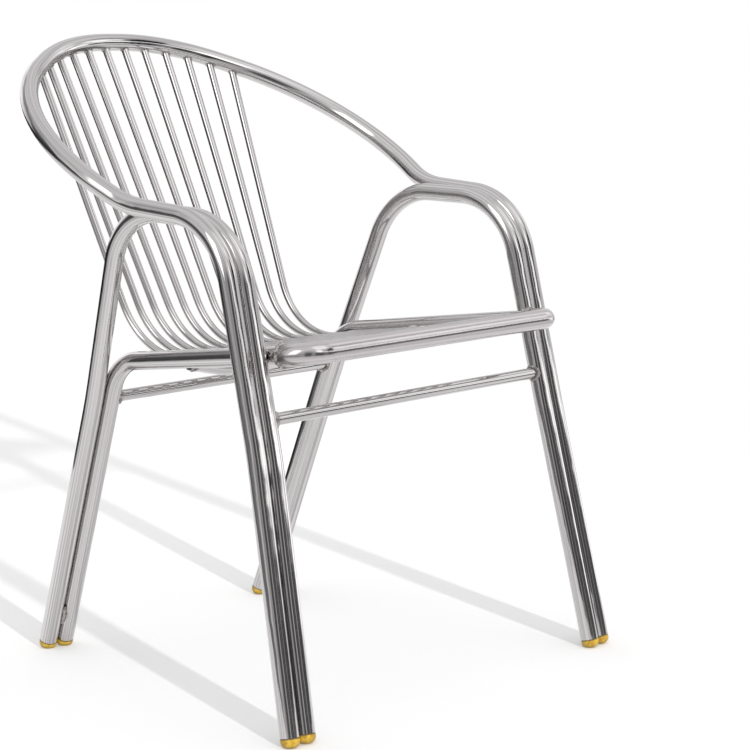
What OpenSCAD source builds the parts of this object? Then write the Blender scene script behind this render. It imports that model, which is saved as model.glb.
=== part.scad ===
// Stacking armchair for patio and porch, welded from bright steel tube and rod.
// Millimetres, +Z up, the sitter faces -Y. The origin is on the floor, midway between the foremost
// and rearmost points of the chair. Heights, half widths and radii are those of centre lines,
// and a "set" is a distance behind the outer front feet. A corner is where two straights would meet.

/* [Stock] */
// Outer diameter of the tubes of the legs, arms and back
tube_d = 22; // [20:0.5:23]
// Wall of the leg, arm and back tubes
tube_wall = 1; // [0.8:0.1:1.5]
// Outer diameter of the tubes that are inner rear legs and seat sides
side_d = 22; // [20:0.5:23]
// Wall of the seat side tubes
side_wall = 1; // [0.8:0.1:1.5]
// Wall of the front bar of the seat, a wider tube that the seat sides run into
bar_wall = 1.3; // [0.9:0.1:1.6]
// Outer diameter of the thin tubes, called rods here, of the back and seat
rod_d = 9; // [7:0.5:10]
// Wall of the rods
rod_wall = 1; // [0.8:0.1:1.5]
// Outer diameter of the two stretchers
stretcher_d = 14; // [12:0.5:16]
// Wall of the stretchers
stretcher_wall = 1; // [0.8:0.1:1.2]
// Outer diameter of the cross tube that carries the seat rods
support_d = 18; // [14:0.5:19]
// Wall of the cross tube
support_wall = 1; // [0.8:0.1:1.2]

/* [Fits] */
// Gap between two tubes that lie side by side or cross, and are seam welded
pair_gap = 0.3; // [0.2:0.1:0.5]
// Clearance where an end is cut to sit against a round tube
cope_gap = 0.1; // [0.05:0.05:0.2]
// Clearance all round between a seat side and the bore of the front bar
sleeve_gap = 0.2; // [0.1:0.05:0.3]
// Clearance all round between a foot plug's stem and the tube's bore
stem_gap = 0.15; // [0.1:0.05:0.25]

/* [Front legs] */
// Half the distance between the outer front feet
front_half = 275; // [266:1:284]
// Half width at the slight bend of the outer front legs
bow_half = 258; // [254:1:264]
// Set of that slight bend
bow_set = 63; // [56:1:70]
// Height of that slight bend
bow_z = 300; // [285:1:310]
// Turn of each front pair about the vertical, which brings the inner foot forward
front_turn = 4; // [0:1:9]

/* [Arms] */
// Half width of the arms at the outer tubes
arm_half = 253.5; // [250:0.5:258]
// Set of the corner at the front of the arm
arm_front_set = 121; // [112:1:130]
// Height of the corner at the front of the arm
arm_front_z = 555; // [541:1:569]
// Bend radius at the front of the arm, the same for both tubes
arm_front_r = 90; // [80:1:98]
// Set of the corner where the outer tube turns up to the back
arm_rear_set = 272; // [265:1:279]
// Height of the corner where the outer tube turns up to the back
arm_rear_z = 567; // [560:1:573]
// Bend radius where the outer tube turns up to the back
arm_rear_r = 107; // [95:1:112]
// Set of the corner where the inner tube turns down to the rear foot
arch_set = 307; // [300:1:315]
// Height of the corner where the inner tube turns down to the rear foot
arch_z = 560; // [554:1:566]
// Bend radius where the inner tube turns down to the rear foot
arch_r = 87; // [76:1:92]

/* [Round back] */
// Set of the top rail's straight middle
back_set = 587; // [580:1:596]
// Height of the top rail's straight middle
back_z = 751; // [740:1:765]
// Half width at the corner next to the straight middle
back_half = 84; // [80:1:90]
// Bend radius beside the straight middle
back_r = 226; // [212:1:230]
// Half width at the corner of the loop's side
loop_half = 298; // [294:1:303]
// Set of the corner of the loop's side
loop_set = 448; // [443:1:453]
// Height of the corner of the loop's side
loop_z = 668; // [660:1:676]
// Bend radius of the loop's side
loop_r = 268; // [255:1:272]

/* [Rear legs] */
// Half the distance between the outer rear feet
rear_half = 193; // [185:1:200]
// Set of the outer rear feet
rear_set = 513; // [500:1:525]
// Half width at the slight bend of the outer rear legs
rear_bow_half = 208.5; // [204:0.5:212]
// Set of that slight bend
rear_bow_set = 390.5; // [384:0.5:396]
// Height of that slight bend
rear_bow_z = 330; // [320:1:340]
// Turn of each rear pair about the vertical, which brings the inner tube forward
rear_turn = 13; // [7:1:17]

/* [Seat] */
// Height of the seat sides where they pass the front legs
seat_front_z = 408; // [399:1:417]
// Height of the corner between inner rear leg and seat side
seat_rear_z = 374; // [366:1:380]
// Bend radius between inner rear leg and seat side
seat_rear_r = 60; // [52:1:63]
// Set of the seat's front bar
bar_set = 28; // [20:1:32]
// Bend radius of the front bar's corners
bar_r = 30; // [24:1:31]
// Distance from the front bar's corner back to its open end
bar_end = 37; // [36:1:42]
// How far the seat sides run into the ends of the front bar
sleeve_l = 5; // [3:1:6]
// Set of the cross tube under the seat rods
support_set = 234; // [200:1:290]
// How far the cross tube's ends lie below the centre lines of the seat sides
support_end_drop = 4; // [0:1:6]
// Half width at the corners where the cross tube's ends turn up
support_half = 146; // [142:1:152]
// Bend radius of the cross tube
support_r = 150; // [100:5:160]
// Height of the front stretcher
front_stretcher_z = 341; // [331:1:368]
// Height of the rear stretcher
rear_stretcher_z = 329; // [282:1:330]

/* [Rods] */
// Number of rods
rod_count = 12; // [10:2:14]
// Spacing of the rods along the top rail
rod_top_pitch = 32; // [28:0.5:32.5]
// Spacing of the rods on the seat
rod_seat_pitch = 24; // [20:0.5:25]
// Set of the corner between the back and seat runs of the rods
rod_corner_set = 389; // [382:1:397]
// Height of that corner
rod_corner_z = 367; // [360:1:376]
// Bend radius between the back and seat runs of the rods
rod_r = 96; // [80:1:110]

/* [Foot plugs] */
// Height of the part of a plug that shows, along the leg
plug_h = 11; // [9:0.5:14]
// Rounding of the plug's lower edge
plug_round = 5; // [3:0.5:6]
// How much of the plug's end is worn away under the leg's centre line
plug_wear = 1.5; // [1:0.5:3]
// Length of the plug's stem in the tube
stem_h = 16; // [10:1:25]

/* [Weld beads] */
// Width that a bead adds round the end of a rod or cross tube
bead_w = 2.2; // [1.5:0.1:3]
// Thickness of a bead that lies along a pair of tubes
seam_d = 6; // [5:0.5:7]
// Length of a bead that lies along a pair of tubes
seam_l = 26; // [15:1:40]
// How far such a bead runs into the tubes' outlines before it is cut to fit them
seam_bite = 1.5; // [1:0.1:2]
// Diameter of the blobs where a tube or rod crosses another
cross_bead_d = 8; // [6.5:0.5:9]
// Height of the bead near the feet of each pair
low_seam_z = 45; // [35:1:120]
// Set of the front bead under the arm
arm_seam_set = 195; // [190:1:205]
// Distance between the two beads under the arm
arm_seam_pitch = 40; // [30:1:45]

/* [Hidden] */
$fn = 48;
SIDES = ["left", "right"];
ROD_NAMES = [for (i = [1 : rod_count]) str("back_rod_", i < 10 ? "0" : "", i)];
bow_r = 900;
through = 5;
cope_l = 60;
// Straights run this far into each bend, and are this much thinner, so that they end inside it
overlap = 0.5;
overlap_step = 0.1;

// Unit vector along v
function unit(v) = v / norm(v);
// Mirror image of a point in the chair's middle plane
function flip(v) = [-v[0], v[1], v[2]];
// Angle that a path turns by at corner b
function turn(a, b, c) = acos(unit(b - a) * unit(c - b));
// Distance from corner i of a path to where its bend begins
function lead(path, r, i) =
    r[i] == 0 ? 0 : r[i] * tan(turn(path[i - 1], path[i], path[i + 1]) / 2);
// Path run there and back: one side's corners, then their mirror images
function both(side) = concat(side, [for (i = [len(side) - 1 : -1 : 0]) flip(side[i])]);
function twice(list) = concat(list, [for (i = [len(list) - 1 : -1 : 0]) list[i]]);
// Point at height z on the straight line through a and b
function at_height(a, b, z) = a + (b - a) * (z - a[2]) / (b[2] - a[2]);
// Point at depth y on the straight line through a and b
function at_depth(a, b, y) = a + (b - a) * (y - a[1]) / (b[1] - a[1]);
// The same path with a length taken off its first and last straights
function trimmed(path, first, final) = [
    for (i = [0 : len(path) - 1])
        i == 0 ? path[0] + unit(path[1] - path[0]) * first :
        i == len(path) - 1 ? path[i] - unit(path[i] - path[i - 1]) * final :
        path[i]
];

// Point and heading at distance s along a path's centre line, counted from the bend at corner i
function along(path, r, s, i = 0) =
    let (u = unit(path[i + 1] - path[i]),
         run = norm(path[i + 1] - path[i]) - lead(path, r, i) - lead(path, r, i + 1))
    s <= run
        ? [path[i] + u * (lead(path, r, i) + s), u]
        : in_bend(path, r, s - run, i + 1);
// Point and heading at distance s into the bend at corner i, or beyond it
function in_bend(path, r, s, i) =
    let (u = unit(path[i] - path[i - 1]),
         n = unit(cross(u, path[i + 1] - path[i])),
         inward = cross(n, u),
         whole = turn(path[i - 1], path[i], path[i + 1]),
         a = s / r[i] * 180 / PI)
    a >= whole
        ? along(path, r, s - whole * r[i] * PI / 180, i)
        : [path[i] - u * lead(path, r, i) + inward * r[i] * (1 - cos(a)) + u * r[i] * sin(a),
           u * cos(a) + inward * sin(a)];

// Step from the outer to the inner tube of a pair, on the +X side
function pair_step(d, turned) =
    ((tube_d + d) / 2 + pair_gap) * [-cos(turned), -sin(turned), 0];
front_step = pair_step(tube_d, front_turn);
rear_step = pair_step(side_d, rear_turn);

// The foremost point is on the inner front feet and the rearmost on the top rail
y_front = -(front_step[1] + back_set) / 2;
function spot(x, set, z) = [x, y_front + set, z];

// Bending table of the rail: the +X side's corners and radii, then the mirrored ones
rail_side = [
    spot(front_half, 0, 0),
    spot(bow_half, bow_set, bow_z),
    spot(arm_half, arm_front_set, arm_front_z),
    spot(arm_half, arm_rear_set, arm_rear_z),
    spot(loop_half, loop_set, loop_z),
    spot(back_half, back_set, back_z)
];
rail_side_r = [0, bow_r, arm_front_r, arm_rear_r, loop_r, back_r];
rail_path = both(rail_side);
rail_r = twice(rail_side_r);
// The same rail from the middle of the back outward, for the rods' places
top_path = concat([spot(0, back_set, back_z)], [for (i = [5 : -1 : 3]) rail_side[i]]);
top_r = [0, back_r, loop_r, 0];

// Bending table of the inner tube of each side, which lies along the outer one up to the arm's end
arch_path = [
    rail_side[0] + front_step,
    rail_side[1] + front_step,
    rail_side[2] + front_step,
    spot(arm_half + front_step[0], arch_set, arch_z),
    spot(rear_bow_half, rear_bow_set, rear_bow_z),
    spot(rear_half, rear_set, 0)
];
arch_bends = [0, bow_r, arm_front_r, arch_r, bow_r, 0];

// Bending table of each seat side: rear foot, up beside the outer rear leg, and forward past the front leg
side_foot = arch_path[5] + rear_step;
side_corner = at_height(side_foot, arch_path[4] + rear_step, seat_rear_z);
leg_crossing = at_height(arch_path[1], arch_path[2], seat_front_z)
    - [(tube_d + side_d) / 2 + pair_gap, 0, 0];
bar_corner = at_depth(side_corner, leg_crossing, y_front + bar_set);
bar_mouth = bar_corner + unit(side_corner - bar_corner) * bar_end;
side_path = [side_foot, side_corner, bar_mouth];
side_r = [0, seat_rear_r, 0];
side_heading = unit(bar_corner - side_corner);

// Bending table of the front bar, from mouth to mouth
bar_bore = side_d + 2 * sleeve_gap;
bar_d = bar_bore + 2 * bar_wall;
bar_path = both([bar_mouth, bar_corner]);
bar_bends = twice([0, bar_r]);

// Rods, numbered from -X to +X
function rod_step(i) = i - (rod_count + 1) / 2;
function rod_top(i) =
    let (s = rod_step(i) * rod_top_pitch, p = along(top_path, top_r, abs(s)))
    s < 0 ? [flip(p[0]), flip(p[1])] : p;
function rod_path(i) =
    let (x = rod_step(i) * rod_seat_pitch)
    [rod_top(i)[0], spot(x, rod_corner_set, rod_corner_z), [x, bar_corner[1], bar_corner[2]]];

// Bending table of the cross tube, which runs low enough to touch the rods from below
rod_fall = unit(rod_path(1)[2] - rod_path(1)[1]);
support_rod = at_depth(rod_path(1)[1], rod_path(1)[2], y_front + support_set);
support_low = [0, support_rod[1], support_rod[2]]
    + cross([1, 0, 0], rod_fall) * ((rod_d + support_d) / 2 + pair_gap);
support_side = at_depth(side_corner, bar_mouth, support_low[1]);
support_end = support_side - [0, 0, support_end_drop];
support_path = both([support_end, support_low + [support_half, 0, 0]]);
support_bends = twice([0, support_r]);

// Where the stretchers meet the legs' centre lines, and the legs' headings there
front_place = [at_height(arch_path[1], arch_path[2], front_stretcher_z), unit(arch_path[2] - arch_path[1])];
rear_place = [at_height(side_foot, side_corner, rear_stretcher_z), unit(side_corner - side_foot)];

// Places children with their Z axis along dir and their X axis towards side
module aim(p, side, dir) {
    z = unit(dir);
    y = unit(cross(z, side));
    x = cross(y, z);
    multmatrix([
        [x[0], y[0], z[0], p[0]],
        [x[1], y[1], z[1], p[1]],
        [x[2], y[2], z[2], p[2]],
        [0, 0, 0, 1]
    ]) children();
}

// Round bar from p to q
module straight(p, q, d) {
    side = abs(unit(q - p)[0]) < 0.9 ? [1, 0, 0] : [0, 1, 0];
    aim(p, side, q - p) cylinder(h = norm(q - p), d = d);
}

// Tube with bore from p to q
module tube_run(p, q, d, bore) {
    side = abs(unit(q - p)[2]) < 0.9 ? [0, 0, 1] : [1, 0, 0];
    aim(p, side, q - p) difference() {
        cylinder(h = norm(q - p), d = d);
        translate([0, 0, -through]) cylinder(h = norm(q - p) + 2 * through, d = bore);
    }
}

// Tube bent about corner i of a path
module elbow(path, r, i, d, bore) {
    u = unit(path[i] - path[i - 1]);
    n = unit(cross(u, path[i + 1] - path[i]));
    inward = cross(n, u);
    start = path[i] - u * lead(path, r, i);
    aim(start + inward * r[i], -inward, n)
        rotate_extrude(angle = turn(path[i - 1], path[i], path[i + 1])) translate([r[i], 0]) difference() {
            circle(d = d);
            circle(d = bore);
        }
}

// Tube that follows a bending table, with a length left off at each end
module bent_tube(whole, r, d, wall, first, final) {
    path = trimmed(whole, first, final);
    for (i = [0 : len(path) - 2]) {
        u = unit(path[i + 1] - path[i]);
        from = r[i] == 0 ? 0 : lead(path, r, i) - overlap;
        to = r[i + 1] == 0 ? 0 : lead(path, r, i + 1) - overlap;
        tube_run(path[i] + u * from, path[i + 1] - u * to, d - overlap_step, d - 2 * wall + overlap_step);
    }
    for (i = [1 : len(path) - 2])
        elbow(path, r, i, d, d - 2 * wall);
}

// What a round tube takes out of something that is cut to sit against it
module cope(place, d) {
    straight(place[0] - place[1] * cope_l / 2, place[0] + place[1] * cope_l / 2, d + 2 * cope_gap);
}

// Draws children on the +X side for "left" and mirrored for "right"
module on_side(side) {
    if (side == "left") children();
    else mirror([1, 0, 0]) children();
}

module back_arm_rail() {
    color("silver") bent_tube(rail_path, rail_r, tube_d, tube_wall, plug_h, plug_h);
}

module arm_arch() {
    color("silver") bent_tube(arch_path, arch_bends, tube_d, tube_wall, plug_h, plug_h);
}

module seat_side() {
    color("silver") bent_tube(side_path, side_r, side_d, side_wall, plug_h, -sleeve_l);
}

module seat_front_bar() {
    color("silver") bent_tube(bar_path, bar_bends, bar_d, bar_wall, 0, 0);
}

// Straight cross tube whose ends are cut to sit against the round tube passing place, and its mirror image
module coped_tube(end, d, wall, place, against_d) {
    difference() {
        straight(end, flip(end), d);
        straight(end + [through, 0, 0], flip(end) - [through, 0, 0], d - 2 * wall);
        cope(place, against_d);
        cope([flip(place[0]), flip(place[1])], against_d);
    }
}

module seat_support() {
    color("silver") difference() {
        bent_tube(support_path, support_bends, support_d, support_wall, 0, 0);
        cope([support_side, side_heading], side_d);
        cope([flip(support_side), flip(side_heading)], side_d);
    }
}

module front_stretcher() {
    color("silver")
        coped_tube(front_place[0], stretcher_d, stretcher_wall, front_place, tube_d);
}

module rear_stretcher() {
    color("silver")
        coped_tube(rear_place[0], stretcher_d, stretcher_wall, rear_place, side_d);
}

// Front bar's centre line at a rod's end
function bar_place(i) = [rod_path(i)[2], [1, 0, 0]];

module back_rod(i) {
    color("silver") difference() {
        bent_tube(rod_path(i), [0, rod_r, 0], rod_d, rod_wall, 0, 0);
        cope(rod_top(i), tube_d);
        cope(bar_place(i), bar_d);
    }
}

// Foot plug on a leg that starts at foot and runs towards next: stem, collar and rounded end
module foot_plug(foot, next, d, wall) {
    stem = d / 2 - wall - stem_gap;
    color("goldenrod") intersection() {
        aim(foot, [1, 0, 0], next - foot) union() {
            translate([0, 0, plug_h - through]) cylinder(h = stem_h + through, r = stem);
            rotate_extrude() plug_outline(d / 2);
        }
        translate([foot[0] - d, foot[1] - d, 0]) cube([2 * d, 2 * d, 4 * (plug_h + stem_h)]);
    }
}

// Half section of the part of a plug that shows, with the worn part below the floor
module plug_outline(r) {
    translate([0, plug_round - plug_wear]) square([r, plug_h + plug_wear - plug_round]);
    translate([0, -plug_wear]) square([r - plug_round, plug_h]);
    translate([r - plug_round, plug_round - plug_wear]) intersection() {
        circle(r = plug_round);
        translate([0, -plug_round]) square(plug_round);
    }
}

// Round blob of weld at p, cut back to clear what the children stand for
module blob(p, d) {
    difference() {
        translate(p) rotate([0, 90, 0]) sphere(d = d);
        children();
    }
}

// Collar of weld round a bar of diameter d that starts inside a round tube and runs along heading
module collar(start, heading, d, place, against_d) {
    bore = d / 2 + cope_gap;
    difference() {
        aim(start, place[1], heading) rotate_extrude() polygon([
            [bore, 0],
            [bore + bead_w, 0],
            [bore + bead_w, against_d / 2],
            [bore, against_d / 2 + bead_w]
        ]);
        cope(place, against_d);
    }
}

// Bead tapered at both ends, with its middle at p
module seam(p, heading) {
    tip = seam_d / 4;
    aim(p, [1, 0, 0], heading) rotate_extrude() polygon([
        [0, -seam_l / 2],
        [tip, -seam_l / 2],
        [seam_d / 2, seam_d - seam_l / 2],
        [seam_d / 2, seam_l / 2 - seam_d],
        [tip, seam_l / 2],
        [0, seam_l / 2]
    ]);
}

// Bead in the groove of a pair of tubes whose centre lines pass a and b, on the side that out points to
module pair_seam(a, b, heading, out) {
    apart = norm(b - a) / 2;
    reach = tube_d / 2 + seam_d / 2 - seam_bite;
    difference() {
        seam((a + b) / 2 + unit(out) * sqrt(reach * reach - apart * apart), heading);
        cope([a, heading], tube_d);
        cope([b, heading], side_d);
    }
}

module arm_seam(y) {
    heading = unit(arch_path[3] - arch_path[2]);
    pair_seam(at_depth(rail_side[2], rail_side[3], y), at_depth(arch_path[2], arch_path[3], y),
              heading, [0, 0, -1]);
}

module front_seam(z) {
    heading = unit(arch_path[1] - arch_path[0]);
    pair_seam(at_height(rail_side[0], rail_side[1], z), at_height(arch_path[0], arch_path[1], z),
              heading, cross(front_step, heading));
}

module rear_seam(z) {
    heading = unit(arch_path[4] - arch_path[5]);
    pair_seam(at_height(arch_path[5], arch_path[4], z), at_height(side_foot, side_corner, z),
              heading, cross(heading, rear_step));
}

module pair_welds() {
    color("gray") {
        arm_seam(y_front + arm_seam_set);
        arm_seam(y_front + arm_seam_set + arm_seam_pitch);
        front_seam(low_seam_z);
        rear_seam(low_seam_z);
    }
}

// Fillet of weld round a seat side, against the mouth of the front bar
module mouth_weld() {
    inner = side_d / 2 + cope_gap;
    aim(bar_mouth, [1, 0, 0], -side_heading) rotate_extrude()
        polygon([[inner, cope_gap], [bar_d / 2, cope_gap], [inner, bead_w]]);
}

// Blob above or below the place where a seat side passes the front leg
module crossing_weld(up) {
    leg = at_height(arch_path[1], arch_path[2], seat_front_z);
    blob((leg + leg_crossing) / 2 + [0, 0, up * side_d / 4], cross_bead_d) {
        cope([leg, unit(arch_path[2] - arch_path[1])], tube_d);
        cope([leg_crossing, side_heading], side_d);
    }
}

module seat_side_welds() {
    color("gray") {
        mouth_weld();
        crossing_weld(1);
        crossing_weld(-1);
    }
}

module rail_rod_welds() {
    color("gray") for (i = [1 : rod_count])
        collar(rod_path(i)[0], rod_path(i)[1] - rod_path(i)[0], rod_d, rod_top(i), tube_d);
}

module bar_rod_welds() {
    color("gray") for (i = [1 : rod_count])
        collar(rod_path(i)[2], rod_path(i)[1] - rod_path(i)[2], rod_d, bar_place(i), bar_d);
}

module stretcher_welds() {
    color("gray") for (s = SIDES) on_side(s) {
        collar(front_place[0], [-1, 0, 0], stretcher_d, front_place, tube_d);
        collar(rear_place[0], [-1, 0, 0], stretcher_d, rear_place, side_d);
    }
}

// Welds of the cross tube: a collar at each end, and a blob in front of the place where each rod lies on it
module support_welds() {
    top = (support_rod + [-support_rod[0], 0, 0] - support_low) / 2;
    color("gray") {
        for (s = SIDES) on_side(s)
            collar(support_end, support_path[1] - support_end, support_d, [support_side, side_heading], side_d);
        for (i = [1 : rod_count]) {
            x = [rod_step(i) * rod_seat_pitch, 0, 0];
            blob(x + support_low + top + rod_fall * cross_bead_d * 0.6, cross_bead_d) {
                cope([x + support_low, [1, 0, 0]], support_d);
                cope([x + support_low + 2 * top, rod_fall], rod_d);
            }
        }
    }
}

for (s = SIDES) {
    on_side(s) arm_arch();
    on_side(s) seat_side();
    on_side(s) foot_plug(rail_side[0], rail_side[1], tube_d, tube_wall);
    on_side(s) foot_plug(arch_path[0], arch_path[1], tube_d, tube_wall);
    on_side(s) foot_plug(arch_path[5], arch_path[4], tube_d, tube_wall);
    on_side(s) foot_plug(side_path[0], side_path[1], side_d, side_wall);
    on_side(s) pair_welds();
    on_side(s) seat_side_welds();
}
back_arm_rail();
seat_front_bar();
seat_support();
front_stretcher();
rear_stretcher();
for (i = [1 : rod_count])
    back_rod(i);
rail_rod_welds();
bar_rod_welds();
support_welds();
stretcher_welds();
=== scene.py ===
# %% [markdown]
# # A stacking armchair of bright steel tube
# The real chair is nothing but stainless tube and thin rod, bent cold, polished and welded, on eight
# amber foot plugs. The frame that this script loads holds every piece in its exact place. What Blender
# adds is the finish: tubes that are smooth all round, the polish lines that run along them, the
# rippled weld beads and the moulded plugs.

# %% Load the fixed frame
from math import atan2, ceil, cos, pi, radians, sin, sqrt, tan

import bmesh
import bpy
from mathutils import Matrix, Vector, noise


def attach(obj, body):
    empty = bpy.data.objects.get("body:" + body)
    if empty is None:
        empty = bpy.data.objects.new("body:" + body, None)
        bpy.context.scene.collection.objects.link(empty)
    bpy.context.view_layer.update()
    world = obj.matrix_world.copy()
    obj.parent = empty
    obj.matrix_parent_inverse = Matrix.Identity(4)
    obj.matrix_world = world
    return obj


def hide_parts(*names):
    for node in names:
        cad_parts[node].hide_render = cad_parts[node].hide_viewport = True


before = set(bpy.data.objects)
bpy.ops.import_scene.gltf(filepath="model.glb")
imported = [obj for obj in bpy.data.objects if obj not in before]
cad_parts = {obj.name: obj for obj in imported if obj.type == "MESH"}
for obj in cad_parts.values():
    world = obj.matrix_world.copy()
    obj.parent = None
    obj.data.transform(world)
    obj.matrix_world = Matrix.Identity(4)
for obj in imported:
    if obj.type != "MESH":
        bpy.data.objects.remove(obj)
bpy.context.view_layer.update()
print("pieces in the frame:", len(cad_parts))

# %% [markdown]
# ## The camera
# It stands in front of the chair's right arm, a little above the back, and looks slightly down. It
# could be aimed by eye, but the edges of the tubes fix it much better, so it was solved from them. The
# lens's middle isn't the picture's, as in a crop from a wider one, so it is shifted as well as aimed.

# %% Camera
MM = 0.001
IMAGE_PIXELS = 750
FOCAL_PIXELS = 2174.5
CENTRE_PIXEL = (384.7, 344.0)
SENSOR = 36.0
CAMERA_PLACE = Vector((-1861.0, -1886.7, 737.6))
LOOK_TURN = radians(47.485)
LOOK_DOWN = radians(7.679)
LOOK_ROLL = radians(-0.4)
FARTHEST_METRES = 200

lens = bpy.data.cameras.new("camera")
lens.sensor_width = SENSOR
lens.lens = SENSOR * FOCAL_PIXELS / IMAGE_PIXELS
lens.shift_x = (IMAGE_PIXELS / 2 - CENTRE_PIXEL[0]) / IMAGE_PIXELS
lens.shift_y = (CENTRE_PIXEL[1] - IMAGE_PIXELS / 2) / IMAGE_PIXELS
lens.clip_end = FARTHEST_METRES
camera = bpy.data.objects.new("camera", lens)
bpy.context.collection.objects.link(camera)
camera.matrix_world = (
    Matrix.Translation(CAMERA_PLACE * MM)
    @ Matrix.Rotation(-LOOK_TURN, 4, "Z")
    @ Matrix.Rotation(pi / 2 - LOOK_DOWN, 4, "X")
    @ Matrix.Rotation(LOOK_ROLL, 4, "Z")
)
bpy.context.scene.camera = camera
print("lens %.1f mm" % lens.lens)

# %% [markdown]
# ## The bending tables
# A tube bender works from corners and radii: where the straights would meet, and how round each corner
# is. A free curve could follow the same route, but real bends are arcs between straights, so a table
# gives the true shape from few numbers. The chair is symmetric, so one side's table is enough, and the
# other side is its mirror image. All sizes are the frame's own, in millimetres until the last step.

# %% Stock sizes
TUBE_D = 22.0
SLEEVE_D = 25.0
ROD_D = 9.0
STRETCHER_D = 14.0
SUPPORT_D = 18.0
WALL = 1.0
SLEEVE_WALL = 1.3
PAIR_GAP = 0.3
PLUG_SHOWS = 11.0
print("tube %g mm, front bar %g mm, rod %g mm" % (TUBE_D, SLEEVE_D, ROD_D))

# %% Legs stand in pairs, and a point is placed by its distance behind the front feet
BACK_SET = 587


def step_inward(turned):
    """From the outer to the inner tube of a pair, on the sitter's left."""
    return Vector((-cos(radians(turned)), -sin(radians(turned)), 0)) * (TUBE_D + PAIR_GAP)


FRONT_STEP = step_inward(4)
REAR_STEP = step_inward(13)
FRONT = -(FRONT_STEP.y + BACK_SET) / 2


def spot(x, behind, z):
    """A point by its distance behind the outer front feet."""
    return Vector((x, FRONT + behind, z))


print("outer front feet at y = %.2f mm" % FRONT)

# %% Lines through two corners, and the chair's other side


def at_height(a, b, z):
    """Where the line through a and b reaches the height z."""
    return a + (b - a) * ((z - a.z) / (b.z - a.z))


def at_depth(a, b, y):
    """Where the line through a and b reaches the depth y."""
    return a + (b - a) * ((y - a.y) / (b.y - a.y))


def flip(v):
    """The mirror image of a point or heading."""
    return Vector((-v.x, v.y, v.z))


def both(side):
    """A path along the sitter's left side, and on along the right side."""
    return side + [flip(v) for v in reversed(side)]


print("step to a pair's inner tube: x = %.1f mm on the left, %.1f mm on the right"
      % (FRONT_STEP.x, flip(FRONT_STEP).x))

# %% Corners and radii of the rail and the arch
FOOT_HALF = 275
ARM_HALF = 253.5
TOP_Z = 751
LEG_BEND = 900
ARM_BEND = 90
SHOULDER_BEND = 268
TOP_BEND = 226

rail_side = [
    spot(FOOT_HALF, 0, 0),
    spot(258, 63, 300),
    spot(ARM_HALF, 121, 555),
    spot(ARM_HALF, 272, 567),
    spot(298, 448, 668),
    spot(84, BACK_SET, TOP_Z),
]
rail_radii = [0, LEG_BEND, ARM_BEND, 107, SHOULDER_BEND, TOP_BEND]
arch = [
    rail_side[0] + FRONT_STEP,
    rail_side[1] + FRONT_STEP,
    rail_side[2] + FRONT_STEP,
    spot(ARM_HALF + FRONT_STEP.x, 307, 560),
    spot(208.5, 390.5, 330),
    spot(193, 513, 0),
]
arch_radii = [0, LEG_BEND, ARM_BEND, 87, LEG_BEND, 0]
print("corners: %d in half the rail, %d in an arch" % (len(rail_side), len(arch)))

# %% Corners of the seat side and the front bar, and where the stretchers meet the legs
SIDE_CORNER_Z = 374
CROSSING_Z = 408
BAR_BEHIND = 28
BAR_RETURN = 37
FRONT_STRETCHER_Z = 341
REAR_STRETCHER_Z = 329

side_foot = arch[5] + REAR_STEP
side_corner = at_height(side_foot, arch[4] + REAR_STEP, SIDE_CORNER_Z)
leg_at_crossing = at_height(arch[1], arch[2], CROSSING_Z)
leg_crossing = leg_at_crossing - Vector((TUBE_D + PAIR_GAP, 0, 0))
bar_corner = at_depth(side_corner, leg_crossing, FRONT + BAR_BEHIND)
bar_mouth = bar_corner + (side_corner - bar_corner).normalized() * BAR_RETURN

front_joint = at_height(arch[1], arch[2], FRONT_STRETCHER_Z)
rear_joint = at_height(side_foot, side_corner, REAR_STRETCHER_Z)
print("the front bar's mouths are %.1f mm apart" % (2 * bar_mouth.x))

# %% [markdown]
# ## Where the rods hang
# The twelve rods hang from the round back at equal steps along its curve. Their places could be
# written down one by one, but walking along the rail's bending table spaces them as a welder does,
# with a tape laid round the bend.

# %% Walk along a bent path


def lead(corners, radii, i):
    """From corner i back to where its bend begins."""
    if radii[i] == 0:
        return 0.0
    return radii[i] * tan((corners[i] - corners[i - 1]).angle(corners[i + 1] - corners[i]) / 2)


def along(corners, radii, s):
    """Point and heading at a distance s from the first corner."""
    for i in range(1, len(corners)):
        ahead = (corners[i] - corners[i - 1]).normalized()
        ease = lead(corners, radii, i) if i < len(corners) - 1 else 0.0
        run = (corners[i] - corners[i - 1]).length - lead(corners, radii, i - 1) - ease
        if s <= run or i == len(corners) - 1:
            return corners[i - 1] + ahead * (lead(corners, radii, i - 1) + s), ahead
        s -= run
        after = (corners[i + 1] - corners[i]).normalized()
        axis = ahead.cross(after).normalized()
        inward = axis.cross(ahead)
        a = s / radii[i]
        if a <= ahead.angle(after):
            start = corners[i] - ahead * ease
            place = start + inward * radii[i] * (1 - cos(a)) + ahead * radii[i] * sin(a)
            return place, ahead * cos(a) + inward * sin(a)
        s -= radii[i] * ahead.angle(after)


print("the shoulder's bend begins %.1f mm before its corner" % lead(rail_side, rail_radii, 4))

# %% Rods
RODS = 12
ROD_NUMBERS = range(1, RODS + 1)
TOP_STEP = 32
SEAT_STEP = 24
ROD_CORNER_BEHIND = 389
ROD_CORNER_Z = 367

top_path = [spot(0, BACK_SET, TOP_Z)] + [rail_side[i] for i in (5, 4, 3)]
top_radii = [0, TOP_BEND, SHOULDER_BEND, 0]


def steps_from_middle(i):
    """How many steps rod i lies from the chair's middle."""
    return i - (RODS + 1) / 2


def rod_top(i):
    """Rod i's end on the rail's centre line, and the rail's heading there."""
    s = steps_from_middle(i) * TOP_STEP
    place, heading = along(top_path, top_radii, abs(s))
    return (flip(place), flip(heading)) if s < 0 else (place, heading)


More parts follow.
